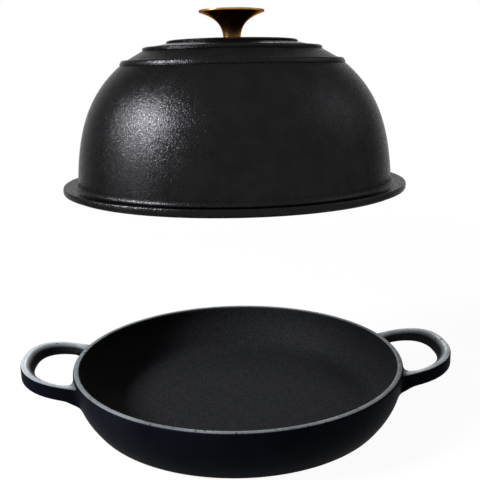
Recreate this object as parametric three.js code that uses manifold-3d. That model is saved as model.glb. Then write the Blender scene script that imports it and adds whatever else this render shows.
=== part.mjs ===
// Cast iron bread oven: a shallow pan with two cast loop handles, and a domed lid with a screwed-on knob.
// Millimetres, +Z up. The origin is the middle of the pan's foot, and the handles lie along X.
// The lid is drawn lifted straight up off the pan.
import * as THREE from 'three';
import { mergeVertices } from 'three/addons/utils/BufferGeometryUtils.js';
import Module from 'manifold-3d';

const wasm = await Module();
wasm.setup();

// Base pan
const RIM_RADIUS = 131;
const PAN_HEIGHT = 42.2;
const PAN_WALL = 5.2;
const PAN_FLOOR = 5.5;
const RIM_ROUND = 1.6;
const BASE_RADIUS = 115.4;
const BASE_CORNER = 5;
const BELLY_OUT = 0.5;
const BELLY_HEIGHT = 20;
const INNER_CORNER = 13;
const INNER_CORNER_RISE = 6.5;
const FOOT_RING_WIDTH = 16;
const FOOT_RECESS = 0.8;

// Loop handles, cast in one with the pan
const HANDLE_REACH = 40;
const HANDLE_SPAN = 93;
const HANDLE_BAR = 10;
const HANDLE_OUTER_DEPTH = 11.5;
const HANDLE_INNER_DEPTH = 8;
const HANDLE_ROUND = 2.4;
const HANDLE_NIP = 0.7;
const HANDLE_DROP = 1.5;
const HANDLE_RISE_DEGREES = 12;
const HANDLE_SQUARENESS = 2.4;
const ROOT_LENGTH = 10;
const ROOT_FLARE = 8;
const ROOT_DEPTH = 4.5;
const ROOT_BURIED = 15;

// Lid flange and the step that drops inside the rim
const FLANGE_SETBACK = 3;
const FLANGE_WIDTH = 11;
const FLANGE_THICKNESS = 4.6;
const FLANGE_GROOVE = 0.9;
const FLANGE_EDGE = 1.2;
const STEP_DEPTH = 1.6;
const STEP_CLEARANCE = 1.4;

// Lid dome, with three stepped rings under a flat top
const LID_HEIGHT = 107.3;
const LID_WALL = 4.5;
const DOME_FILLET = 4;
const DOME_SHOULDER_RADIUS = 114.5;
const DOME_SHOULDER_HEIGHT = 50;
const DOME_CROWN_RADIUS = 103.7;
const DOME_CROWN_HEIGHT = 71.8;
const LOW_RING_RADIUS = 82.9;
const LOW_RING_DROP = 13.6;
const LOW_RING_STEP = 4;
const MIDDLE_RING_RADIUS = 66.3;
const MIDDLE_RING_DROP = 4.5;
const MIDDLE_RING_STEP = 2.4;
const TOP_RING_RADIUS = 48.5;
const TOP_RING_STEP = 2;
const RING_SHOULDER = 3.5;
const RING_LEAN = 0.8;
const RING_GROOVE = 0.4;
const RING_GROOVE_WIDTH = 1.2;
const LID_TOP = 7;
const CEILING_RADIUS = 38;
const HAUNCH_RADIUS = 60;

// Knob
const KNOB_RADIUS = 24;
const KNOB_HEIGHT = 20.8;
const KNOB_NECK_RADIUS = 6.3;
const KNOB_WAIST_RADIUS = 7.6;
const KNOB_WAIST_HEIGHT = 10.4;
const KNOB_FLARE_RADIUS = 10.7;
const KNOB_FLARE_HEIGHT = 15;
const KNOB_EDGE = 1.6;
const KNOB_DISH = 0.6;

// Knob fastening, from inside the lid
const SCREW_RADIUS = 3;
const SCREW_GRIP = 10;
const SCREW_HEAD_RADIUS = 5.6;
const SCREW_HEAD_HEIGHT = 3.4;
const SCREW_HEAD_SIDE = 1.1;
const SCREW_TIP_RADIUS = 2.1;
const SCREW_SLOT_WIDTH = 1.2;
const SCREW_SLOT_DEPTH = 1.5;
const WASHER_RADIUS = 8;
const WASHER_THICKNESS = 1.4;
const LOCK_WASHER_RADIUS = 5.4;
const LOCK_WASHER_THICKNESS = 1.5;
const LOCK_WASHER_SPLIT = 1;

// Fits, how far the lid is lifted from where it sits on the rim, and how far cuts overshoot
const HOLE_CLEARANCE = 0.4;
const SEAT_GAP = 0.3;
const LID_LIFT = 139;
const OVERSHOOT = 1;

// Facets
const BODY_SIDES = 56;
const KNOB_SIDES = 32;
const SCREW_SIDES = 20;
const CURVE_STEPS = 4;
const HANDLE_STEPS = 22;
const LEG_STEPS = 4;
const LEG_CROWDING = 1.7;

// Sizes that follow from those above
const flangeRadius = RIM_RADIUS - FLANGE_SETBACK;
const domeRadius = flangeRadius - FLANGE_WIDTH;
const ceiling = LID_HEIGHT - LID_TOP;
const lowRingFoot = LID_HEIGHT - LOW_RING_DROP - LOW_RING_STEP;
const rings = [
  { radius: LOW_RING_RADIUS, drop: LOW_RING_DROP, step: LOW_RING_STEP },
  { radius: MIDDLE_RING_RADIUS, drop: MIDDLE_RING_DROP, step: MIDDLE_RING_STEP },
  { radius: TOP_RING_RADIUS, drop: 0, step: TOP_RING_STEP },
];
const holeRadius = SCREW_RADIUS + HOLE_CLEARANCE;

const ironBlack = { color: 0x1b1b1c, metalness: 0.2 };
const materials = {
  pan: new THREE.MeshStandardMaterial({ ...ironBlack, color: 0x14161b, roughness: 0.38 }),
  lid: new THREE.MeshStandardMaterial({ ...ironBlack, roughness: 0.62 }),
  brass: new THREE.MeshStandardMaterial({ color: 0x7a5a2c, roughness: 0.32, metalness: 1 }),
  steel: new THREE.MeshStandardMaterial({ color: 0x9a9c9f, roughness: 0.4, metalness: 1 }),
};

// Turns a closed geometry into a solid that can be joined and cut.
function toSolid(geometry) {
  geometry.deleteAttribute('normal');
  geometry.deleteAttribute('uv');
  const merged = mergeVertices(geometry);
  const corners = merged.index.array;
  const kept = [];
  for (let i = 0; i < corners.length; i += 3) {
    const [a, b, c] = corners.slice(i, i + 3);
    if (a !== b && b !== c && c !== a) kept.push(a, b, c);
  }
  const vertProperties = merged.attributes.position.array;
  const triVerts = new Uint32Array(kept);
  return new wasm.Manifold(new wasm.Mesh({ numProp: 3, vertProperties, triVerts }));
}

// Gives a solid's surface back as a named mesh.
function toMesh(name, solid, material) {
  const { vertProperties, triVerts } = solid.getMesh();
  const geometry = new THREE.BufferGeometry();
  geometry.setAttribute('position', new THREE.BufferAttribute(vertProperties, 3));
  geometry.setIndex(new THREE.BufferAttribute(triVerts, 1));
  geometry.computeVertexNormals();
  const mesh = new THREE.Mesh(geometry, material);
  mesh.name = name;
  return mesh;
}

// Revolves a profile of radius and height about Z.
function revolve(profile, sides) {
  const geometry = new THREE.LatheGeometry(profile.getPoints(CURVE_STEPS), sides);
  geometry.rotateX(Math.PI / 2);
  return toSolid(geometry);
}

// A box that cuts a slot, set about its middle.
function cutter(width, length, height, middle) {
  const geometry = new THREE.BoxGeometry(width, length, height);
  geometry.translate(middle.x, middle.y, middle.z);
  return toSolid(geometry);
}

// The pan's outside, filled, from the foot ring up the bellied wall to the rounded rim.
function panOutside() {
  const belly = new THREE.Vector2(RIM_RADIUS + BELLY_OUT, BELLY_HEIGHT);
  const corner = new THREE.Vector2(BASE_RADIUS, 0);
  const cornerTop = belly.clone().sub(corner).setLength(BASE_CORNER).add(corner);
  const footOuter = BASE_RADIUS - BASE_CORNER;
  const footInner = footOuter - FOOT_RING_WIDTH;
  const profile = new THREE.Path();
  profile.moveTo(0, FOOT_RECESS);
  profile.lineTo(footInner - FOOT_RECESS, FOOT_RECESS);
  profile.lineTo(footInner, 0);
  profile.lineTo(footOuter, 0);
  profile.quadraticCurveTo(corner.x, corner.y, cornerTop.x, cornerTop.y);
  profile.quadraticCurveTo(belly.x, belly.y, RIM_RADIUS, PAN_HEIGHT - RIM_ROUND);
  profile.quadraticCurveTo(RIM_RADIUS, PAN_HEIGHT, RIM_RADIUS - RIM_ROUND, PAN_HEIGHT);
  profile.lineTo(0, PAN_HEIGHT);
  return revolve(profile, BODY_SIDES);
}

// The space inside the pan, which opens out over the rim's rounded inner edge.
function panHollow() {
  const floor = FOOT_RECESS + PAN_FLOOR;
  const rimInner = RIM_RADIUS - PAN_WALL;
  const belly = new THREE.Vector2(rimInner + BELLY_OUT, BELLY_HEIGHT + PAN_FLOOR);
  const corner = new THREE.Vector2(BASE_RADIUS - PAN_WALL, floor);
  const cornerTop = belly.clone().sub(corner).setLength(INNER_CORNER_RISE).add(corner);
  const profile = new THREE.Path();
  profile.moveTo(0, floor);
  profile.lineTo(corner.x - INNER_CORNER, floor);
  profile.quadraticCurveTo(corner.x, corner.y, cornerTop.x, cornerTop.y);
  profile.quadraticCurveTo(belly.x, belly.y, rimInner, PAN_HEIGHT - RIM_ROUND);
  profile.quadraticCurveTo(rimInner, PAN_HEIGHT, rimInner + RIM_ROUND, PAN_HEIGHT);
  profile.lineTo(rimInner + RIM_ROUND, PAN_HEIGHT + OVERSHOOT);
  profile.lineTo(0, PAN_HEIGHT + OVERSHOOT);
  return revolve(profile, BODY_SIDES);
}

// How strongly the handle's root blends into the wall: from 0 out on the loop to 1 at the rim.
function rootBlend(place) {
  const toGo = (RIM_RADIUS + ROOT_LENGTH - place.length()) / ROOT_LENGTH;
  return THREE.MathUtils.clamp(toGo, 0, 1) ** 2;
}

// The loop in plan, as outer and inner edge points: two straight legs joined by a squared-off round.
function handleOutline() {
  const half = HANDLE_SPAN / 2;
  const squared = (value) => Math.sign(value) * Math.abs(value) ** (2 / HANDLE_SQUARENESS);
  const turns = [];
  for (let i = 0; i <= HANDLE_STEPS; i += 1) {
    const turn = (2 * i) / HANDLE_STEPS - 1;
    const angle = (Math.PI / 2) * Math.sign(turn) * (1 - (1 - Math.abs(turn)) ** LEG_CROWDING);
    turns.push({ along: squared(Math.cos(angle)), across: squared(Math.sin(angle)), inward: 0 });
  }
  for (let i = 1; i <= LEG_STEPS; i += 1) {
    const inward = (ROOT_BURIED * i) / LEG_STEPS;
    turns.unshift({ along: 0, across: -1, inward });
    turns.push({ along: 0, across: 1, inward });
  }
  const edge = ({ along, across, inward }, inset) =>
    new THREE.Vector2(RIM_RADIUS - inward + (HANDLE_REACH - inset) * along, (half - inset) * across);
  return turns.map((turn) => {
    const inner = edge(turn, HANDLE_BAR);
    inner.y -= turn.across * ROOT_FLARE * rootBlend(inner);
    return { outer: edge(turn, 0), inner };
  });
}

// One cross-section of the handle bar: flat top, deeper outside than inside, all four edges rounded.
function handleSection({ outer, inner }) {
  const width = outer.distanceTo(inner);
  const across = inner.clone().sub(outer).normalize();
  const outerDepth = HANDLE_OUTER_DEPTH + ROOT_DEPTH * rootBlend(outer);
  const innerDepth = HANDLE_INNER_DEPTH + ROOT_DEPTH * rootBlend(inner);
  const soft = HANDLE_ROUND;
  const nip = HANDLE_NIP;
  const points = [
    [0, soft], [nip, nip], [soft, 0],
    [width - soft, 0], [width - nip, nip], [width, soft],
    [width, innerDepth - soft], [width - nip, innerDepth - nip], [width - soft, innerDepth],
    [soft, outerDepth], [nip, outerDepth - nip], [0, outerDepth - soft],
  ];
  const slope = Math.tan(THREE.MathUtils.degToRad(HANDLE_RISE_DEGREES));
  return points.map(([a, depth]) => {
    const place = across.clone().multiplyScalar(a).add(outer);
    const top = PAN_HEIGHT - HANDLE_DROP + (place.x - RIM_RADIUS) * slope;
    return new THREE.Vector3(place.x, place.y, top - depth);
  });
}

// Skins a row of equal cross-sections and closes both ends.
function loft(sections) {
  const count = sections[0].length;
  const positions = sections.flat().flatMap((point) => point.toArray());
  const index = [];
  for (let s = 0; s + 1 < sections.length; s += 1) {
    for (let i = 0; i < count; i += 1) {
      const a = s * count + i;
      const b = s * count + ((i + 1) % count);
      index.push(a, b + count, b, a, a + count, b + count);
    }
  }
  const end = (sections.length - 1) * count;
  for (let i = 1; i + 1 < count; i += 1) {
    index.push(0, i, i + 1);
    index.push(end, end + i + 1, end + i);
  }
  const geometry = new THREE.BufferGeometry();
  geometry.setAttribute('position', new THREE.Float32BufferAttribute(positions, 3));
  geometry.setIndex(index);
  return geometry;
}

function basePan() {
  const sections = handleOutline().map(handleSection);
  const right = toSolid(loft(sections));
  const left = toSolid(loft(sections).rotateZ(Math.PI));
  const casting = panOutside().add(right).add(left).subtract(panHollow());
  return toMesh('base_pan', casting, materials.pan);
}

// The lid's outside, from the rounded flange edge up the dome and over the stepped rings to the flat top.
function lidOutside(profile) {
  const grooveRadius = domeRadius + DOME_FILLET;
  const grooveHeight = FLANGE_THICKNESS - FLANGE_GROOVE;
  const beadRadius = flangeRadius - FLANGE_EDGE;
  profile.quadraticCurveTo(flangeRadius, 0, flangeRadius, FLANGE_THICKNESS / 2);
  profile.quadraticCurveTo(flangeRadius, FLANGE_THICKNESS, beadRadius, FLANGE_THICKNESS);
  profile.lineTo(grooveRadius, grooveHeight);
  profile.quadraticCurveTo(domeRadius, grooveHeight, domeRadius, grooveHeight + DOME_FILLET);
  profile.bezierCurveTo(DOME_SHOULDER_RADIUS, DOME_SHOULDER_HEIGHT, DOME_CROWN_RADIUS, DOME_CROWN_HEIGHT,
    LOW_RING_RADIUS, lowRingFoot);
  for (const { radius, drop, step } of rings) {
    const top = LID_HEIGHT - drop;
    const inner = radius - RING_SHOULDER;
    profile.lineTo(radius, top - step);
    profile.quadraticCurveTo(radius - RING_LEAN, top, inner, top);
    if (drop > 0) profile.lineTo(inner - RING_GROOVE_WIDTH, top - RING_GROOVE);
  }
  profile.lineTo(holeRadius, LID_HEIGHT);
}

// The lid's inside, smooth, from the screw hole across the ceiling and down to the step.
function lidInside(profile) {
  const innerCrown = new THREE.Vector2(LOW_RING_RADIUS - LID_WALL / 2, lowRingFoot - LID_WALL);
  profile.moveTo(holeRadius, ceiling);
  profile.lineTo(CEILING_RADIUS, ceiling);
  profile.quadraticCurveTo(HAUNCH_RADIUS, ceiling, innerCrown.x, innerCrown.y);
  profile.bezierCurveTo(DOME_CROWN_RADIUS - LID_WALL, DOME_CROWN_HEIGHT - LID_WALL / 2,
    DOME_SHOULDER_RADIUS - LID_WALL, DOME_SHOULDER_HEIGHT, domeRadius - LID_WALL, FLANGE_THICKNESS);
}

function domeLid() {
  const stepRadius = RIM_RADIUS - PAN_WALL - STEP_CLEARANCE;
  const profile = new THREE.Path();
  lidInside(profile);
  profile.lineTo(domeRadius - LID_WALL, -STEP_DEPTH);
  profile.lineTo(stepRadius - STEP_DEPTH / 2, -STEP_DEPTH);
  profile.lineTo(stepRadius, 0);
  profile.lineTo(flangeRadius - FLANGE_EDGE, 0);
  lidOutside(profile);
  profile.lineTo(holeRadius, ceiling);
  return toMesh('dome_lid', revolve(profile, BODY_SIDES), materials.lid);
}

// The trumpet-shaped knob stands on the flat top, with a blind tapped hole for the screw.
function lidKnob() {
  const foot = LID_HEIGHT + SEAT_GAP;
  const top = foot + KNOB_HEIGHT;
  const rim = top - KNOB_EDGE;
  const holeTop = foot + SCREW_GRIP + SEAT_GAP;
  const profile = new THREE.Path();
  profile.moveTo(0, holeTop);
  profile.lineTo(holeRadius, holeTop);
  profile.lineTo(holeRadius, foot);
  profile.lineTo(KNOB_NECK_RADIUS, foot);
  profile.bezierCurveTo(KNOB_WAIST_RADIUS, foot + KNOB_WAIST_HEIGHT,
    KNOB_FLARE_RADIUS, foot + KNOB_FLARE_HEIGHT, KNOB_RADIUS - KNOB_EDGE / 2, rim);
  profile.quadraticCurveTo(KNOB_RADIUS, rim, KNOB_RADIUS, top - KNOB_EDGE / 2);
  profile.quadraticCurveTo(KNOB_RADIUS, top, KNOB_RADIUS - KNOB_EDGE, top);
  profile.lineTo(0, top - KNOB_DISH);
  return toMesh('lid_knob', revolve(profile, KNOB_SIDES), materials.brass);
}

// A flat ring, its top face at the given height.
function washerRing(outerRadius, thickness, top) {
  const profile = new THREE.Path();
  profile.moveTo(holeRadius, top - thickness);
  profile.lineTo(outerRadius, top - thickness);
  profile.lineTo(outerRadius, top);
  profile.lineTo(holeRadius, top);
  profile.lineTo(holeRadius, top - thickness);
  return revolve(profile, SCREW_SIDES);
}

function flatWasher() {
  const top = ceiling - SEAT_GAP;
  return toMesh('flat_washer', washerRing(WASHER_RADIUS, WASHER_THICKNESS, top), materials.steel);
}

// The lock washer is split through one side.
function lockWasher() {
  const top = ceiling - SEAT_GAP * 2 - WASHER_THICKNESS;
  const middle = new THREE.Vector3(LOCK_WASHER_RADIUS, 0, top - LOCK_WASHER_THICKNESS / 2);
  const split = cutter(LOCK_WASHER_RADIUS * 2, LOCK_WASHER_SPLIT, LOCK_WASHER_THICKNESS + OVERSHOOT, middle);
  const washer = washerRing(LOCK_WASHER_RADIUS, LOCK_WASHER_THICKNESS, top).subtract(split);
  return toMesh('lock_washer', washer, materials.steel);
}

// The screw's slotted head is inside the lid, and its shank reaches up into the knob.
function knobScrew() {
  const underHead = ceiling - SEAT_GAP * 3 - WASHER_THICKNESS - LOCK_WASHER_THICKNESS;
  const headEnd = underHead - SCREW_HEAD_HEIGHT;
  const tip = LID_HEIGHT + SEAT_GAP + SCREW_GRIP;
  const profile = new THREE.Path();
  profile.moveTo(0, headEnd);
  profile.lineTo(SCREW_HEAD_RADIUS / 2, headEnd);
  profile.quadraticCurveTo(SCREW_HEAD_RADIUS, headEnd, SCREW_HEAD_RADIUS, underHead - SCREW_HEAD_SIDE);
  profile.lineTo(SCREW_HEAD_RADIUS, underHead);
  profile.lineTo(SCREW_RADIUS, underHead);
  profile.lineTo(SCREW_RADIUS, tip - SCREW_RADIUS + SCREW_TIP_RADIUS);
  profile.lineTo(SCREW_TIP_RADIUS, tip);
  profile.lineTo(0, tip);
  const slotMiddle = new THREE.Vector3(0, 0, headEnd);
  const slot = cutter(SCREW_HEAD_RADIUS * 3, SCREW_SLOT_WIDTH, SCREW_SLOT_DEPTH * 2, slotMiddle);
  return toMesh('knob_screw', revolve(profile, SCREW_SIDES).subtract(slot), materials.steel);
}

const lid = new THREE.Group();
lid.position.z = PAN_HEIGHT + SEAT_GAP + LID_LIFT;
lid.add(domeLid(), lidKnob(), flatWasher(), lockWasher(), knobScrew());

const breadOven = new THREE.Group();
breadOven.add(basePan(), lid);

export default breadOven;
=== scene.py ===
"""Cast iron bread oven, its lid lifted off the pan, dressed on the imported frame. Metres, +Z up."""
import math

import bmesh
import bpy
from mathutils import Matrix, Vector


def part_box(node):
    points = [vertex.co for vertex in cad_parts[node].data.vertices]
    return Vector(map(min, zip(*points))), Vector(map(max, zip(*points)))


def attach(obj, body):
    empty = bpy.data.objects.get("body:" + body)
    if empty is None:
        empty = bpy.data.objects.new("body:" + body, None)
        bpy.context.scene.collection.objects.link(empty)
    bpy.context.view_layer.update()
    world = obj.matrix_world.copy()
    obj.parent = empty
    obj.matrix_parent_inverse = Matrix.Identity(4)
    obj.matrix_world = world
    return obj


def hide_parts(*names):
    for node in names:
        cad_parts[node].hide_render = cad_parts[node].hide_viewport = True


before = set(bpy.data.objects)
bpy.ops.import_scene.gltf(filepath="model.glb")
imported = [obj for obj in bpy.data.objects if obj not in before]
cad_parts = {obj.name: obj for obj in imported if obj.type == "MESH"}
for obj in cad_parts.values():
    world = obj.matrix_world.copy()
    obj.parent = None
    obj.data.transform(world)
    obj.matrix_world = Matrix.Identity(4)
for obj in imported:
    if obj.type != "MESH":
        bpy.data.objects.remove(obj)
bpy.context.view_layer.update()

# Base pan
RIM_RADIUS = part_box("base_pan")[1][1]
PAN_HEIGHT = 0.0422
PAN_WALL = 0.0052
PAN_FLOOR = 0.0055
RIM_ROUND = 0.0023
BASE_RADIUS = 0.1154
BASE_CORNER = 0.005
BELLY_OUT = 0.0005
BELLY_HEIGHT = 0.020
INNER_CORNER = 0.013
INNER_CORNER_RISE = 0.0065
FOOT_RING_WIDTH = 0.016
FOOT_RECESS = 0.0008
FLOOR_HUB = 0.03
LOW_WALL_HEIGHTS = (0.010, 0.0142, 0.0183)

# Loop handles
HANDLE_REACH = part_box("base_pan")[1][0] - RIM_RADIUS
HANDLE_SPAN = 0.093
HANDLE_BAR = 0.010
HANDLE_OUTER_DEPTH = 0.0115
HANDLE_INNER_DEPTH = 0.008
HANDLE_ROUND = 0.0026
HANDLE_ROLL = 0.0062
HANDLE_CROWN = 0.0006
HANDLE_INNER_SHARES = (0.64, 0.75, 0.84)
HANDLE_DROP = 0.0015
HANDLE_RISE = math.tan(math.radians(12))
HANDLE_SQUARENESS = 2.4
ROOT_LENGTH = 0.010
ROOT_FLARE = 0.008
ROOT_DEPTH = 0.0045
ROOT_CLEARANCES = (0.003, 0.006)
ROOT_HEIGHTS = (0.0231, 0.0271, 0.0311, 0.0351, 0.0391)
ROOT_COLUMNS = (4, 5, 6, 7)

# Lid
LID_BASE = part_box("dome_lid")[0][2]
FLANGE_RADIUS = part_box("dome_lid")[1][0]
FLANGE_WIDTH = 0.011
FLANGE_THICKNESS = 0.0046
FLANGE_GROOVE = 0.0009
FLANGE_EDGE = 0.0012
STEP_DEPTH = 0.0016
STEP_CLEARANCE = 0.0014
LID_HEIGHT = 0.1073
LID_WALL = 0.0045
LID_TOP = 0.007
DOME_FILLET = 0.004
DOME_SHOULDER = Vector((0.1145, 0.050))
DOME_CROWN = Vector((0.1037, 0.0718))
# Each ring's radius, its drop below the top and its rise
RINGS = ((0.0829, 0.0136, 0.004), (0.0663, 0.0045, 0.0024), (0.0485, 0, 0.002))
RING_SHOULDER = 0.0035
RING_FACE_SLOPE = 0.3
RING_CREASE = 0.0007
RING_GROOVE = 0.0004
RING_GROOVE_WIDTH = 0.0012
CEILING_RADIUS = 0.038
HAUNCH_RADIUS = 0.060
CAST_SOFTNESS = 0.0005

# Knob
KNOB_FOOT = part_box("lid_knob")[0][2]
KNOB_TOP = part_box("lid_knob")[1][2]
KNOB_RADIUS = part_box("lid_knob")[1][0]
KNOB_NECK_RADIUS = 0.0063
KNOB_WAIST = Vector((0.0067, 0.0104))
KNOB_FLARE = Vector((0.0110, 0.015))
KNOB_EDGE = 0.0016
KNOB_LIP = 0.0006
KNOB_DISH = 0.0006
KNOB_SOFTNESS = 0.0003
SCREW_HOLE_RADIUS = 0.0034
SCREW_HOLE_DEPTH = 0.0103

# How finely shapes are cut up
PAN_SIDES = 120
LID_SIDES = 192
KNOB_SIDES = 128
CURVE_STEPS = 12
LONG_CURVE_STEPS = 36
HANDLE_STEPS = 40
PAN_CORNER_STEPS = 5
PAN_RIM_STEPS = 4
PAN_INNER_STEPS = 6
LEG_CROWDING = 1.5

# Lid's iron: colours, grain and how much its edges reflect
LID_BLACK = ((0.0110, 0.0109, 0.0115), (0.0142, 0.0140, 0.0147))
LID_EDGE = (0.5, 0.5, 0.5)
LID_ROUGHNESS = (0.16, 0.35)
LID_GRAIN_SCALE = 1400
LID_GRAIN_BUMP = (1, 0.00021)
LID_WAVE_SCALE = 90
LID_WAVE_BUMP = (0.015, 0.0008)

# Pan's enamel: colours from dark to light
ENAMEL = ((0.0011, 0.0015, 0.0028), (0.0022, 0.0029, 0.0047))
COOKING_FACE = ((0.006, 0.0064, 0.0075), (0.015, 0.0154, 0.0165))
# Light iron on the worn tops, partly real wear and partly a painted highlight
BARE_IRON_AND_HIGHLIGHT = ((0.58, 0.65, 0.67), (0.78, 0.86, 0.88))
INNER_LEAN = 0.06
ENAMEL_SPECULAR = 0.01
ENAMEL_ROUGHNESS = 0.56
PAN_GRAIN_SCALE = 700
PAN_GRAIN_BUMP = (0.35, 0.0003)
PAN_PATCH_SCALE = 35

# Where the pan's tops are worn and carry a painted highlight: how far faces point up, heights, distances
# out, and how far it goes
WEAR_AND_HIGHLIGHT_FACING = (0.68, 0.97)
WEAR_AND_HIGHLIGHT_HEIGHTS = (0.036, 0.042)
WEAR_AND_HIGHLIGHT_RADII = (0.1355, 0.1425)
WEAR_AND_HIGHLIGHT_SHARES = (0.55, 1)
RIM_WEAR_AND_HIGHLIGHT = 0.36
BARE_AND_HIGHLIGHT_SHARE = 0.58
RUBBED_ROUGHNESS = 0.36
POLISH_ROUGHNESS = 0.28
PIT_SCALE = 420
PIT_LEVELS = (0.74, 0.66)

# Brass of the knob, and steel of the fasteners
BRASS = ((0.15, 0.072, 0.019), (0.38, 0.21, 0.064))
BRASS_EDGE = (0.5, 0.32, 0.12)
BRASS_ROUGHNESS = (0.30, 0.20)
PATINA_SCALE = 70
TURNING_SCALE = 700
TURNING_WANDER = 1.5
TURNING_BUMP = (0.06, 0.0001)
STEEL = ((0.42, 0.42, 0.43), (0.56, 0.56, 0.57))
STEEL_ROUGHNESS = (0.32, 0.45)
STREAK_SCALE = 900

# The part of a noise texture's range that is used
NOISE_RANGE = (0.3, 0.7)

# Stage and light
STAGE_COLOUR = (0.9, 0.9, 0.9)
FLOOR_GLOW = 0.95
FLOOR_HALF = 6
FLOOR_FADE = (0.3, 1.0)
WORLD_GREY = 0.12
LAMP_TINT = (0.955, 0.955, 1)
KEY_PLACE = Vector((-1.07, -0.28, 0.82))
KEY_AIM = Vector((-0.05, -0.03, 0.22))
KEY_SIZE = 0.36
KEY_WATTS = 44
RIGHT_PLACE = Vector((1.07, 0.08, 0.87))
RIGHT_AIM = Vector((0, 0, 0.22))
RIGHT_SIZE = 0.6
RIGHT_WATTS = 2.0
BACK_PLACE = Vector((0.1, 3.0, 1.5))
BACK_AIM = Vector((0, 0, 0.05))
BACK_SIZE = 0.8
BACK_WATTS = 6
LEFT_PLACE = Vector((-1.15, -0.28, 0.33))
LEFT_AIM = Vector((0, 0, 0.26))
LEFT_SIZE = 0.22
LEFT_WATTS = 2.2

# Camera, found by lining up the photograph's outlines; the image is 480 pixels wide
CAMERA_PLACE = Vector((-0.0302, -0.5492, 0.2646))
CAMERA_YAW = math.radians(3.49)
CAMERA_PITCH = math.radians(12.95)
CAMERA_ROLL = math.radians(1.0)
FOCAL_PIXELS = 722.67
IMAGE_PIXELS = 480
SENSOR_MM = 36


class Profile:
    """A chain of radius and height points, drawn with lines and curves."""

    def __init__(self, radius, height):
        self.points = [Vector((radius, height))]

    def line(self, radius, height):
        self.points.append(Vector((radius, height)))

    def arc(self, corner, end, steps=CURVE_STEPS):
        start = self.points[-1]
        corner = Vector(corner)
        end = Vector(end)
        for i in range(1, steps + 1):
            t = i / steps
            self.points.append(start * (1 - t) ** 2 + corner * 2 * t * (1 - t) + end * t ** 2)

    def curve(self, first, second, end, steps=LONG_CURVE_STEPS):
        start = self.points[-1]
        first = Vector(first)
        second = Vector(second)
        end = Vector(end)
        for i in range(1, steps + 1):
            t = i / steps
            near = start * (1 - t) ** 3 + first * 3 * t * (1 - t) ** 2
            far = second * 3 * t ** 2 * (1 - t) + end * t ** 3
            self.points.append(near + far)


def softened(points, softness, steps=4, least_turn=math.radians(14)):
    """Rounds off each sharp corner of a chain of points."""
    soft = [points[0]]
    for before, corner, after in zip(points, points[1:], points[2:]):
        arriving = corner - before
        leaving = after - corner
        if min(arriving.length, leaving.length) == 0 or arriving.angle(leaving) < least_turn:
            soft.append(corner)
            continue
        start = corner - arriving.normalized() * min(softness, arriving.length / 2)
        end = corner + leaving.normalized() * min(softness, leaving.length / 2)
        for i in range(steps + 1):
            t = i / steps
            soft.append(start * (1 - t) ** 2 + corner * 2 * t * (1 - t) + end * t ** 2)
    soft.append(points[-1])
    return soft


def add_ring(mesh, point, sides):
    """One ring of vertices about Z, or a single one on the axis."""
    radius, height = point
    if radius == 0:
        return [mesh.verts.new((0, 0, height))]
    turns = (2 * math.pi * i / sides for i in range(sides))
    return [mesh.verts.new((radius * math.cos(a), radius * math.sin(a), height)) for a in turns]


def join_rings(mesh, lower, upper, sides):
    """Faces between two neighbouring rings."""
    for i in range(sides):
        j = (i + 1) % sides
        below = [lower[i % len(lower)], lower[j % len(lower)]]
        above = [upper[j % len(upper)], upper[i % len(upper)]]
        mesh.faces.new(list(dict.fromkeys(below + above)))


def revolve(points, sides, closed):
    """Revolves a chain of points; a closed one goes all the way round its own section."""
    mesh = bmesh.new()
    rings = [add_ring(mesh, point, sides) for point in points]
    for lower, upper in zip(rings, rings[1:]):
        join_rings(mesh, lower, upper, sides)
    if closed:
        join_rings(mesh, rings[-1], rings[0], sides)
    return mesh, rings


def finish_piece(name, mesh, material):
    """Makes an object of a mesh, smooth, with its faces turned outward."""
    bmesh.ops.recalc_face_normals(mesh, faces=mesh.faces)
    data = bpy.data.meshes.new(name)
    mesh.to_mesh(data)
    mesh.free()
    data.shade_smooth()
    data.materials.append(material)
    piece = bpy.data.objects.new(name, data)
    bpy.context.collection.objects.link(piece)
    return piece


def wall_corner():
    """Where the pan's bottom corner ends and its bellied wall starts."""
    corner = Vector((BASE_RADIUS, 0))
    belly = Vector((RIM_RADIUS + BELLY_OUT, BELLY_HEIGHT))
    return corner + (belly - corner).normalized() * BASE_CORNER


def wall_point(height):
    """The point of the bellied outer wall at a height."""
    start = wall_corner()
    belly = Vector((RIM_RADIUS + BELLY_OUT, BELLY_HEIGHT))
    end = Vector((RIM_RADIUS, PAN_HEIGHT - RIM_ROUND))
    a = start.y - 2 * belly.y + end.y
    b = 2 * (belly.y - start.y)
    c = start.y - height
    t = (math.sqrt(b * b - 4 * a * c) - b) / (2 * a)
    place = start * (1 - t) ** 2 + belly * 2 * t * (1 - t) + end * t ** 2
    return Vector((min(place.x, RIM_RADIUS), height))


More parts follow.
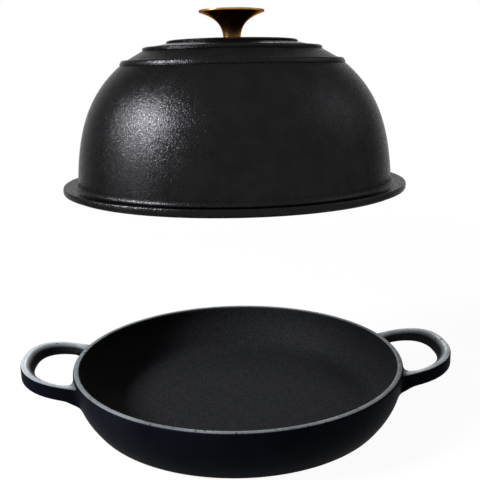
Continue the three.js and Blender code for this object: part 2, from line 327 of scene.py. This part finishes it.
def pan_profile():
    """The pan's section, from the middle of the underside over the rim to the middle of the floor."""
    foot_outer = BASE_RADIUS - BASE_CORNER
    foot_inner = foot_outer - FOOT_RING_WIDTH
    floor = FOOT_RECESS + PAN_FLOOR
    rim_inner = RIM_RADIUS - PAN_WALL
    outline = Profile(0, FOOT_RECESS)
    outline.line(FLOOR_HUB, FOOT_RECESS)
    outline.line(foot_inner - 2 * FOOT_RECESS, FOOT_RECESS)
    outline.line(foot_inner - FOOT_RECESS, FOOT_RECESS)
    outline.line(foot_inner, 0)
    outline.line(foot_inner + FOOT_RECESS, 0)
    outline.line(foot_outer, 0)
    outline.arc((BASE_RADIUS, 0), wall_corner(), PAN_CORNER_STEPS)
    for height in LOW_WALL_HEIGHTS + ROOT_HEIGHTS:
        outline.line(*wall_point(height))
    outline.line(RIM_RADIUS, PAN_HEIGHT - RIM_ROUND)
    outline.arc((RIM_RADIUS, PAN_HEIGHT), (RIM_RADIUS - RIM_ROUND, PAN_HEIGHT), PAN_RIM_STEPS)
    outline.line(rim_inner + RIM_ROUND, PAN_HEIGHT)
    outline.arc((rim_inner, PAN_HEIGHT), (rim_inner, PAN_HEIGHT - RIM_ROUND), PAN_RIM_STEPS)
    corner = Vector((BASE_RADIUS - PAN_WALL, floor))
    belly = Vector((rim_inner + BELLY_OUT, BELLY_HEIGHT + PAN_FLOOR))
    corner_top = corner + (belly - corner).normalized() * INNER_CORNER_RISE
    outline.arc(belly, corner_top, PAN_INNER_STEPS)
    outline.arc(corner, (corner.x - INNER_CORNER, floor), PAN_INNER_STEPS)
    outline.line(FLOOR_HUB, floor)
    outline.line(0, floor)
    return outline.points


def root_blend(place):
    """How strongly a handle's root blends into the wall: 0 out on the loop, 1 at the rim."""
    left = (RIM_RADIUS + ROOT_LENGTH - place.length) / ROOT_LENGTH
    return min(max(left, 0), 1) ** 2


def loop_edge(turn, inset):
    """A point on the squared-off loop in plan, its outer edge or an inset one."""
    power = 2 / HANDLE_SQUARENESS
    along = abs(math.cos(turn)) ** power
    across = math.copysign(abs(math.sin(turn)) ** power, turn)
    x = RIM_RADIUS + (HANDLE_REACH - inset) * along
    return Vector((x, (HANDLE_SPAN / 2 - inset) * across))


def leg_edge(side, inset, clearance):
    """A point on a straight leg in plan, at a clearance from the wall."""
    across = HANDLE_SPAN / 2 - inset
    return Vector((math.sqrt((RIM_RADIUS + clearance) ** 2 - across ** 2), side * across))


def handle_edges():
    """Pairs of outer and inner edge points, from one root round the loop to the other."""
    legs = {side: [(leg_edge(side, 0, gap), leg_edge(side, HANDLE_BAR, gap)) for gap in ROOT_CLEARANCES]
            for side in (1, -1)}
    pairs = legs[1]
    for i in range(1, HANDLE_STEPS):
        share = 1 - 2 * i / HANDLE_STEPS
        turn = math.pi / 2 * math.copysign(1 - (1 - abs(share)) ** LEG_CROWDING, share)
        pairs.append((loop_edge(turn, 0), loop_edge(turn, HANDLE_BAR)))
    pairs += reversed(legs[-1])
    for outer, inner in pairs:
        inner.y -= math.copysign(ROOT_FLARE * root_blend(inner), inner.y)
    return pairs


def handle_section(outer, inner):
    """The cage of one cross-section of the bar, from its outer top corner round to its outer side."""
    width = (inner - outer).length
    across = (inner - outer).normalized()
    outer_depth = HANDLE_OUTER_DEPTH + ROOT_DEPTH * root_blend(outer)
    inner_depth = HANDLE_INNER_DEPTH + ROOT_DEPTH * root_blend(inner)
    soft = HANDLE_ROUND
    roll = HANDLE_ROLL
    slope = (inner_depth - outer_depth) / width
    cage = (
        (0, HANDLE_CROWN), (soft, 0), (width - roll, 0), (width - roll / 3, roll / 3),
        *((width, inner_depth * share) for share in HANDLE_INNER_SHARES),
        (width, inner_depth), (width - soft, inner_depth - slope * soft),
        (soft, outer_depth + slope * soft), (0, outer_depth),
        (0, outer_depth - soft), (0, outer_depth / 2), (0, soft),
    )
    points = []
    for a, depth in cage:
        place = outer + across * a
        top = PAN_HEIGHT - HANDLE_DROP + (place.x - RIM_RADIUS) * HANDLE_RISE
        points.append(Vector((place.x, place.y, top - depth)))
    return points


def root_loop(rows, side, flip):
    """The wall's vertices round a handle's root, in the order of a cross-section."""
    def vertex(row, column):
        turn = side * column + (PAN_SIDES // 2 if flip else 0)
        return row[turn % PAN_SIDES]
    first, last = ROOT_COLUMNS[0], ROOT_COLUMNS[-1]
    top = [vertex(rows[-1], column) for column in reversed(ROOT_COLUMNS)]
    inner = [vertex(row, first) for row in reversed(rows[1:-1])]
    bottom = [vertex(rows[0], column) for column in ROOT_COLUMNS]
    outer = [vertex(row, last) for row in rows[1:-1]]
    return top + inner + bottom + outer


def open_root(mesh, rows, side, flip):
    """Takes out the wall's faces where a handle's root grows from it."""
    start = PAN_SIDES // 2 if flip else 0
    within = {row[(side * column + start) % PAN_SIDES] for row in rows for column in ROOT_COLUMNS}
    patch = [face for face in mesh.faces if within.issuperset(face.verts)]
    loop = root_loop(rows, side, flip)
    bmesh.ops.delete(mesh, geom=patch, context="FACES")
    return loop


def bridge(mesh, loop, next_loop):
    """Faces between two loops of as many vertices."""
    count = len(loop)
    for i in range(count):
        j = (i + 1) % count
        mesh.faces.new((loop[i], loop[j], next_loop[j], next_loop[i]))


def add_handle(mesh, rows, flip):
    """Grows one handle from the wall and back into it."""
    turn = Matrix.Rotation(math.pi if flip else 0, 4, "Z")
    loops = [open_root(mesh, rows, 1, flip)]
    for outer, inner in handle_edges():
        loops.append([mesh.verts.new(turn @ point) for point in handle_section(outer, inner)])
    loops.append(open_root(mesh, rows, -1, flip))
    for loop, next_loop in zip(loops, loops[1:]):
        bridge(mesh, loop, next_loop)


def base_pan(material):
    """The pan and its handles, one smooth casting."""
    points = pan_profile()
    mesh, rings = revolve(points, PAN_SIDES, closed=False)
    heights = [wall_point(height) for height in ROOT_HEIGHTS]
    rows = [rings[points.index(point)] for point in heights]
    for flip in (False, True):
        add_handle(mesh, rows, flip)
    piece = finish_piece("pan_casting", mesh, material)
    smooth = piece.modifiers.new("smooth", "SUBSURF")
    smooth.levels = 2
    smooth.render_levels = 2
    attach(piece, "pan")
    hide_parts("base_pan")


def draw_rings(outline):
    """The lid's stepped rings, from the lowest one up."""
    for radius, drop, rise in RINGS:
        top = LID_HEIGHT - drop
        inner = radius - RING_SHOULDER
        face = radius - RING_FACE_SLOPE * rise / 2
        outline.line(radius - RING_CREASE, top - rise)
        outline.line(radius, top - rise + RING_CREASE)
        outline.line(face, top - rise / 2)
        outline.arc((face - RING_FACE_SLOPE * rise / 2, top), (inner, top))
        if drop > 0:
            outline.line(inner - RING_GROOVE_WIDTH, top - RING_GROOVE)


def lid_profile():
    """The lid's whole section, in and out, above its own seat."""
    dome = FLANGE_RADIUS - FLANGE_WIDTH
    ceiling = LID_HEIGHT - LID_TOP
    step = RIM_RADIUS - PAN_WALL - STEP_CLEARANCE
    low_radius, low_drop, low_step = RINGS[0]
    low_foot = LID_HEIGHT - low_drop - low_step
    outline = Profile(SCREW_HOLE_RADIUS, ceiling)
    outline.line(CEILING_RADIUS, ceiling)
    outline.arc((HAUNCH_RADIUS, ceiling), (low_radius - LID_WALL / 2, low_foot - LID_WALL))
    outline.curve(DOME_CROWN - Vector((LID_WALL, LID_WALL / 2)), DOME_SHOULDER - Vector((LID_WALL, 0)),
                  (dome - LID_WALL, FLANGE_THICKNESS))
    outline.line(dome - LID_WALL, -STEP_DEPTH)
    outline.line(step - STEP_DEPTH / 2, -STEP_DEPTH)
    outline.line(step, 0)
    outline.line(FLANGE_RADIUS - FLANGE_EDGE, 0)
    outline.arc((FLANGE_RADIUS, 0), (FLANGE_RADIUS, FLANGE_THICKNESS / 2))
    outline.arc((FLANGE_RADIUS, FLANGE_THICKNESS), (FLANGE_RADIUS - FLANGE_EDGE, FLANGE_THICKNESS))
    groove = FLANGE_THICKNESS - FLANGE_GROOVE
    outline.line(dome + DOME_FILLET, groove)
    outline.arc((dome, groove), (dome, groove + DOME_FILLET))
    outline.curve(DOME_SHOULDER, DOME_CROWN, (low_radius, low_foot))
    draw_rings(outline)
    outline.line(SCREW_HOLE_RADIUS, LID_HEIGHT)
    return outline.points


def dome_lid(material):
    """The domed lid, one casting, where the frame has it."""
    lift = Vector((0, LID_BASE + STEP_DEPTH))
    points = softened(distinct(lid_profile()), CAST_SOFTNESS)
    mesh, _ = revolve([point + lift for point in points], LID_SIDES, closed=True)
    piece = finish_piece("lid_casting", mesh, material)
    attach(piece, "lid")
    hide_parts("dome_lid")


def distinct(points, least=1e-7):
    """Leaves out each point that lies on the one before it."""
    kept = [points[0]]
    for point in points[1:]:
        if (point - kept[-1]).length > least:
            kept.append(point)
    return kept


def lid_knob(material):
    """The turned trumpet knob, with its screw hole underneath."""
    rim = KNOB_TOP - KNOB_EDGE
    hole_top = KNOB_FOOT + SCREW_HOLE_DEPTH
    foot = Vector((0, KNOB_FOOT))
    outline = Profile(0, hole_top)
    outline.line(SCREW_HOLE_RADIUS, hole_top)
    outline.line(SCREW_HOLE_RADIUS, KNOB_FOOT)
    outline.line(KNOB_NECK_RADIUS, KNOB_FOOT)
    outline.curve(foot + KNOB_WAIST, foot + KNOB_FLARE, (KNOB_RADIUS - KNOB_LIP, rim))
    outline.arc((KNOB_RADIUS, rim), (KNOB_RADIUS, rim + KNOB_LIP))
    outline.line(KNOB_RADIUS, KNOB_TOP - KNOB_LIP)
    outline.arc((KNOB_RADIUS, KNOB_TOP), (KNOB_RADIUS - KNOB_LIP, KNOB_TOP))
    outline.line(0, KNOB_TOP - KNOB_DISH)
    points = softened(distinct(outline.points), KNOB_SOFTNESS)
    mesh, _ = revolve(points, KNOB_SIDES, closed=False)
    piece = finish_piece("turned_knob", mesh, material)
    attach(piece, "lid")
    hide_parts("lid_knob")


def new_material(name):
    """A node material with its shader, its nodes and its links."""
    material = bpy.data.materials.new(name)
    material.use_nodes = True
    nodes = material.node_tree.nodes
    return material, nodes, material.node_tree.links, nodes["Principled BSDF"]


def noise(nodes, links, scale, detail):
    """A noise texture in the part's own space; its feature size is about one over the scale."""
    place = nodes.new("ShaderNodeTexCoord")
    texture = nodes.new("ShaderNodeTexNoise")
    texture.inputs["Scale"].default_value = scale
    texture.inputs["Detail"].default_value = detail
    links.new(place.outputs["Object"], texture.inputs["Vector"])
    return texture.outputs["Fac"]


def ramp(nodes, links, source, dark, light):
    """Turns a noise value into a colour between two."""
    node = nodes.new("ShaderNodeValToRGB")
    first, last = node.color_ramp.elements
    first.position = NOISE_RANGE[0]
    first.color = (*dark, 1)
    last.position = NOISE_RANGE[1]
    last.color = (*light, 1)
    links.new(source, node.inputs["Fac"])
    return node.outputs["Color"]


def mapped(nodes, links, source, start, end):
    """Carries a value from one range over to another."""
    node = nodes.new("ShaderNodeMapRange")
    node.inputs["From Min"].default_value = start[0]
    node.inputs["From Max"].default_value = start[1]
    node.inputs["To Min"].default_value = end[0]
    node.inputs["To Max"].default_value = end[1]
    links.new(source, node.inputs["Value"])
    return node.outputs["Result"]


def spread(nodes, links, source, low, high):
    """Spreads a noise value over a range."""
    return mapped(nodes, links, source, NOISE_RANGE, (low, high))


def between(nodes, links, share, first, last):
    """A value that goes from one number to another as a share goes from 0 to 1."""
    return mapped(nodes, links, share, (0, 1), (first, last))


def smooth_step(nodes, links, source, low, high, least=0):
    """Rises smoothly from a least value to 1 between two values."""
    step = mapped(nodes, links, source, (low, high), (least, 1))
    step.node.interpolation_type = "SMOOTHSTEP"
    return step


def bump(nodes, links, source, strength, distance, under=None):
    """A bump from a grey value, on top of another bump if there is one."""
    node = nodes.new("ShaderNodeBump")
    node.inputs["Strength"].default_value = strength
    node.inputs["Distance"].default_value = distance
    links.new(source, node.inputs["Height"])
    if under is not None:
        links.new(under, node.inputs["Normal"])
    return node.outputs["Normal"]


def mixed(nodes, links, share, first, second):
    """A colour that goes over to a second one."""
    node = nodes.new("ShaderNodeMix")
    node.data_type = "RGBA"
    links.new(share, node.inputs["Factor"])
    links.new(first, node.inputs["A"])
    links.new(second, node.inputs["B"])
    return node.outputs["Result"]


def combined(nodes, links, operation, first, second):
    """What a maths operation makes of two values."""
    node = nodes.new("ShaderNodeMath")
    node.operation = operation
    links.new(first, node.inputs[0])
    links.new(second, node.inputs[1])
    return node.outputs["Value"]


def product(nodes, links, first, second):
    """Multiplies two values."""
    return combined(nodes, links, "MULTIPLY", first, second)


def height_of(nodes, links, output):
    """The Z of one of a surface's own coordinates, its place or its normal."""
    place = nodes.new("ShaderNodeTexCoord")
    split = nodes.new("ShaderNodeSeparateXYZ")
    links.new(place.outputs[output], split.inputs["Vector"])
    return split.outputs["Z"]


def distance_out(nodes, links):
    """How far a point lies from its object's own origin."""
    place = nodes.new("ShaderNodeTexCoord")
    length = nodes.new("ShaderNodeVectorMath")
    length.operation = "LENGTH"
    links.new(place.outputs["Object"], length.inputs[0])
    return length.outputs["Value"]


def worn_and_highlit_tops(nodes, links, patches):
    """How far the enamel is worn off and given a painted highlight: on faces that point up, at the
    height of the handles and rim.
    """
    level = smooth_step(nodes, links, height_of(nodes, links, "Normal"), *WEAR_AND_HIGHLIGHT_FACING)
    high = smooth_step(nodes, links, height_of(nodes, links, "Object"), *WEAR_AND_HIGHLIGHT_HEIGHTS)
    broken = spread(nodes, links, patches, *WEAR_AND_HIGHLIGHT_SHARES)
    pits = smooth_step(nodes, links, noise(nodes, links, PIT_SCALE, 1), *PIT_LEVELS)
    outward = smooth_step(nodes, links, distance_out(nodes, links), *WEAR_AND_HIGHLIGHT_RADII, RIM_WEAR_AND_HIGHLIGHT)
    rubbed_and_highlight = product(nodes, links, product(nodes, links, level, high), outward)
    return product(nodes, links, rubbed_and_highlight, product(nodes, links, broken, pits))


def inner_faces(nodes, links):
    """Where a face of the pan looks in or up: 1 on its floor and inner wall, 0 on the outer wall."""
    place = nodes.new("ShaderNodeTexCoord")
    spoke = nodes.new("ShaderNodeVectorMath")
    spoke.operation = "MULTIPLY_ADD"
    spoke.inputs[1].default_value = (1, 1, 0)
    spoke.inputs[2].default_value = (0, 0, -INNER_LEAN)
    links.new(place.outputs["Object"], spoke.inputs[0])
    facing = nodes.new("ShaderNodeVectorMath")
    facing.operation = "DOT_PRODUCT"
    links.new(place.outputs["Normal"], facing.inputs[0])
    links.new(spoke.outputs["Vector"], facing.inputs[1])
    return smooth_step(nodes, links, facing.outputs["Value"], 0, -INNER_LEAN)


def lid_iron():
    """Black iron with the fine pebbled grain of a sand casting and dull edges."""
    material, nodes, links, shader = new_material("lid_iron")
    grain = noise(nodes, links, LID_GRAIN_SCALE, 0)
    waves = noise(nodes, links, LID_WAVE_SCALE, 2)
    links.new(ramp(nodes, links, waves, *LID_BLACK), shader.inputs["Base Color"])
    links.new(spread(nodes, links, grain, *LID_ROUGHNESS), shader.inputs["Roughness"])
    under = bump(nodes, links, waves, *LID_WAVE_BUMP)
    links.new(bump(nodes, links, grain, *LID_GRAIN_BUMP, under), shader.inputs["Normal"])
    shader.inputs["Metallic"].default_value = 1
    shader.inputs["Specular Tint"].default_value = (*LID_EDGE, 1)
    return material


def pan_enamel():
    """Satin black enamel with a blue tint, worn smooth down to light iron on top of the handles and rim,
    which is partly wear and partly a painted highlight.
    """
    material, nodes, links, shader = new_material("pan_enamel")
    grain = noise(nodes, links, PAN_GRAIN_SCALE, 2)
    patches = noise(nodes, links, PAN_PATCH_SCALE, 3)
    enamel = ramp(nodes, links, patches, *ENAMEL)
    inside = ramp(nodes, links, grain, *COOKING_FACE)
    bare_and_highlight = ramp(nodes, links, grain, *BARE_IRON_AND_HIGHLIGHT)
    seasoned = mixed(nodes, links, inner_faces(nodes, links), enamel, inside)
    # Up-facing tops of the handles and rim turn to light iron: worn enamel and a painted highlight
    wear_and_highlight = worn_and_highlit_tops(nodes, links, patches)
    rubbed_and_highlight = between(nodes, links, wear_and_highlight, 0, BARE_AND_HIGHLIGHT_SHARE)
    links.new(mixed(nodes, links, rubbed_and_highlight, seasoned, bare_and_highlight), shader.inputs["Base Color"])
    links.new(rubbed_and_highlight, shader.inputs["Metallic"])
    links.new(wear_and_highlight, shader.inputs["Coat Weight"])
    shader.inputs["Coat Roughness"].default_value = POLISH_ROUGHNESS
    roughness = between(nodes, links, wear_and_highlight, ENAMEL_ROUGHNESS, RUBBED_ROUGHNESS)
    links.new(roughness, shader.inputs["Roughness"])
    links.new(bump(nodes, links, grain, *PAN_GRAIN_BUMP), shader.inputs["Normal"])
    shader.inputs["Specular IOR Level"].default_value = ENAMEL_SPECULAR
    return material


def knob_brass():
    """Dark antique brass with fine turning marks."""
    material, nodes, links, shader = new_material("knob_brass")
    patina = noise(nodes, links, PATINA_SCALE, 4)
    place = nodes.new("ShaderNodeTexCoord")
    marks = nodes.new("ShaderNodeTexWave")
    marks.bands_direction = "Z"
    marks.inputs["Scale"].default_value = TURNING_SCALE
    marks.inputs["Distortion"].default_value = TURNING_WANDER
    links.new(place.outputs["Object"], marks.inputs["Vector"])
    links.new(ramp(nodes, links, patina, *BRASS), shader.inputs["Base Color"])
    links.new(spread(nodes, links, patina, *BRASS_ROUGHNESS), shader.inputs["Roughness"])
    links.new(bump(nodes, links, marks.outputs["Fac"], *TURNING_BUMP), shader.inputs["Normal"])
    shader.inputs["Metallic"].default_value = 1
    shader.inputs["Specular Tint"].default_value = (*BRASS_EDGE, 1)
    return material


def fastener_steel():
    """Plain plated steel."""
    material, nodes, links, shader = new_material("fastener_steel")
    streaks = noise(nodes, links, STREAK_SCALE, 3)
    links.new(ramp(nodes, links, streaks, *STEEL), shader.inputs["Base Color"])
    links.new(spread(nodes, links, streaks, *STEEL_ROUGHNESS), shader.inputs["Roughness"])
    shader.inputs["Metallic"].default_value = 1
    return material


def dress_node(node, material):
    """Gives a CAD node that stays a better material."""
    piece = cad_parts[node]
    piece.data.materials.clear()
    piece.data.materials.append(material)


def seeing_rays(nodes, links):
    """1 for the camera's rays and for those that metal or glass sends on, 0 for the light itself."""
    rays = nodes.new("ShaderNodeLightPath")
    camera = rays.outputs["Is Camera Ray"]
    either = combined(nodes, links, "MAXIMUM", camera, rays.outputs["Is Glossy Ray"])
    return combined(nodes, links, "MAXIMUM", either, rays.outputs["Is Transmission Ray"])


def white_floor():
    """A pale matte floor that keeps the shadow and goes over to plain white further out."""
    material, nodes, links, shader = new_material("floor")
    nodes.remove(shader)
    whiteness = smooth_step(nodes, links, distance_out(nodes, links), *FLOOR_FADE, FLOOR_GLOW)
    share = product(nodes, links, seeing_rays(nodes, links), whiteness)
    matte = nodes.new("ShaderNodeBsdfDiffuse")
    matte.inputs["Color"].default_value = (*STAGE_COLOUR, 1)
    glow = nodes.new("ShaderNodeEmission")
    mix = nodes.new("ShaderNodeMixShader")
    links.new(share, mix.inputs["Fac"])
    links.new(matte.outputs["BSDF"], mix.inputs[1])
    links.new(glow.outputs["Emission"], mix.inputs[2])
    links.new(mix.outputs["Shader"], nodes["Material Output"].inputs["Surface"])
    return material


def white_world():
    """A soft grey surround that the camera and reflections see as plain white."""
    world = bpy.data.worlds.new("studio")
    world.use_nodes = True
    nodes = world.node_tree.nodes
    links = world.node_tree.links
    level = between(nodes, links, seeing_rays(nodes, links), WORLD_GREY, 1)
    nodes["Background"].inputs["Color"].default_value = (1, 1, 1, 1)
    links.new(level, nodes["Background"].inputs["Strength"])
    return world


def stage_sheet(name, corners, material):
    """A flat sheet of the stage."""
    data = bpy.data.meshes.new(name)
    data.from_pydata(corners, [], [(0, 1, 2, 3)])
    data.materials.append(material)
    sheet = bpy.data.objects.new(name, data)
    bpy.context.collection.objects.link(sheet)


def area_light(name, place, aim, size, watts):
    """A soft square lamp that faces a point."""
    data = bpy.data.lights.new(name, "AREA")
    data.size = size
    data.energy = watts
    data.color = LAMP_TINT
    lamp = bpy.data.objects.new(name, data)
    lamp.location = place
    lamp.rotation_euler = (aim - place).to_track_quat("-Z", "Y").to_euler()
    bpy.context.collection.objects.link(lamp)


def build_stage():
    """The floor, the lamps and the surround."""
    half = FLOOR_HALF
    corners = [(-half, -half, 0), (half, -half, 0), (half, half, 0), (-half, half, 0)]
    stage_sheet("floor", corners, white_floor())
    area_light("key", KEY_PLACE, KEY_AIM, KEY_SIZE, KEY_WATTS)
    area_light("right", RIGHT_PLACE, RIGHT_AIM, RIGHT_SIZE, RIGHT_WATTS)
    area_light("back", BACK_PLACE, BACK_AIM, BACK_SIZE, BACK_WATTS)
    area_light("left", LEFT_PLACE, LEFT_AIM, LEFT_SIZE, LEFT_WATTS)
    bpy.context.scene.world = white_world()


def place_camera():
    """The camera at the photograph's viewing angle."""
    flat = Vector((math.sin(CAMERA_YAW), math.cos(CAMERA_YAW), 0))
    forward = flat * math.cos(CAMERA_PITCH) - Vector((0, 0, math.sin(CAMERA_PITCH)))
    right = Vector((math.cos(CAMERA_YAW), -math.sin(CAMERA_YAW), 0))
    up = right.cross(forward)
    tilted_right = right * math.cos(CAMERA_ROLL) - up * math.sin(CAMERA_ROLL)
    tilted_up = up * math.cos(CAMERA_ROLL) + right * math.sin(CAMERA_ROLL)
    axes = Matrix((tilted_right, tilted_up, -forward)).transposed().to_4x4()
    data = bpy.data.cameras.new("camera")
    data.sensor_width = SENSOR_MM
    data.lens = FOCAL_PIXELS * SENSOR_MM / IMAGE_PIXELS
    camera = bpy.data.objects.new("camera", data)
    camera.matrix_world = Matrix.Translation(CAMERA_PLACE) @ axes
    bpy.context.collection.objects.link(camera)
    bpy.context.scene.camera = camera


bpy.context.scene.view_settings.view_transform = "Standard"
place_camera()
build_stage()
base_pan(pan_enamel())
dome_lid(lid_iron())
lid_knob(knob_brass())
steel = fastener_steel()
for fastener in ("flat_washer", "lock_washer", "knob_screw"):
    dress_node(fastener, steel)
